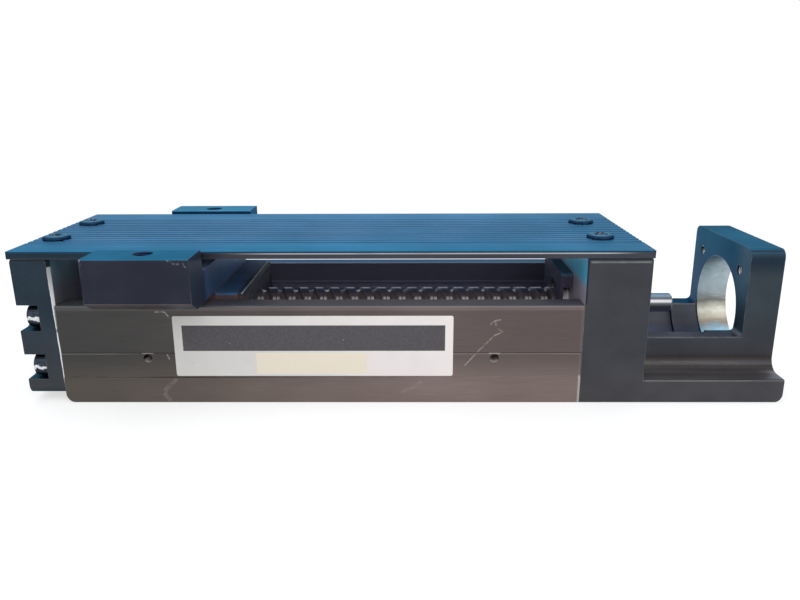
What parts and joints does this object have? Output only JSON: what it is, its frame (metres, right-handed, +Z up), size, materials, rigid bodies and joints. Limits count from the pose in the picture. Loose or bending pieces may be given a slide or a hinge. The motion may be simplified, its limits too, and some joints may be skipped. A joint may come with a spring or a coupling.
{
  "type": "ball screw linear module",
  "caption": "Guide actuator with a U rail, covered ball screw, winged carriage table and an open motor flange for a direct-coupled motor.",
  "frame": {"origin": "middle of the underside, on the mounting plane", "axes": "+X along the screw towards the motor flange, +Y across the rail, +Z up from the base"},
  "size_m": [0.22, 0.0908, 0.0471],
  "materials": {
    "rail_steel": "ground and blackened",
    "black_casting": "dark satin anodised casting",
    "cover_anodised": "dark satin anodised, brushed along its length",
    "table_anodised": "dark satin anodised",
    "zinc_screws": "zinc plated",
    "black_screws": "black oxide",
    "damper_rubber": "matt",
    "turned_steel": "turned",
    "bearing_steel": "ground",
    "polished_balls": "polished",
    "block_steel": "ground",
    "screw_steel": "ground",
    "end_plate_resin": "red-brown moulded resin",
    "seal_rubber": "moulded with a pale lip",
    "side_seal_rubber": "red-brown strip"
  },
  "bodies": {
    "base": {"outer_rail": "rail_steel", "motor_bracket": "black_casting", "far_end_casting": "black_casting", "top_cover": "cover_anodised", "cover_screws": "zinc_screws", "rail_screws_motor_end": "black_screws", "rail_screws_far_end": "black_screws", "motor_end_damper": "damper_rubber", "far_end_damper": "damper_rubber", "stop_ring": "turned_steel", "motor_bearing_outer_rings": "bearing_steel", "motor_bearing_balls": "polished_balls", "bearing_ring_nut": "turned_steel", "far_bearing_outer_ring": "bearing_steel", "far_bearing_balls": "polished_balls"},
    "carriage": {"sub_table": "table_anodised", "table_screws": "black_screws", "nut_block": "block_steel", "end_plate_motor_side": "end_plate_resin", "end_plate_far_side": "end_plate_resin", "end_seal_motor_side": "seal_rubber", "end_seal_far_side": "seal_rubber", "end_plate_screws": "zinc_screws", "side_seals": "side_seal_rubber", "guide_balls": "polished_balls", "screw_balls": "polished_balls"},
    "screw": {"ball_screw": "screw_steel", "thrust_collar": "turned_steel", "motor_bearing_inner_rings": "bearing_steel", "lock_nut": "turned_steel", "far_bearing_inner_ring": "bearing_steel", "snap_ring": "turned_steel"}
  },
  "joints": [
    {"name": "carriage_slide", "type": "slide", "parent": "base", "child": "carriage", "axis": [1, 0, 0], "range_m": [-0.003, 0.0935]},
    {"name": "screw_spin", "type": "hinge", "parent": "base", "child": "screw", "pos_m": [0, 0, 0.0218], "axis": [1, 0, 0], "range_deg": [-3400, 120]}
  ],
  "couplings": [
    {"joint": "screw_spin", "follows": "carriage_slide", "rad_per_m": -628.32}
  ]
}
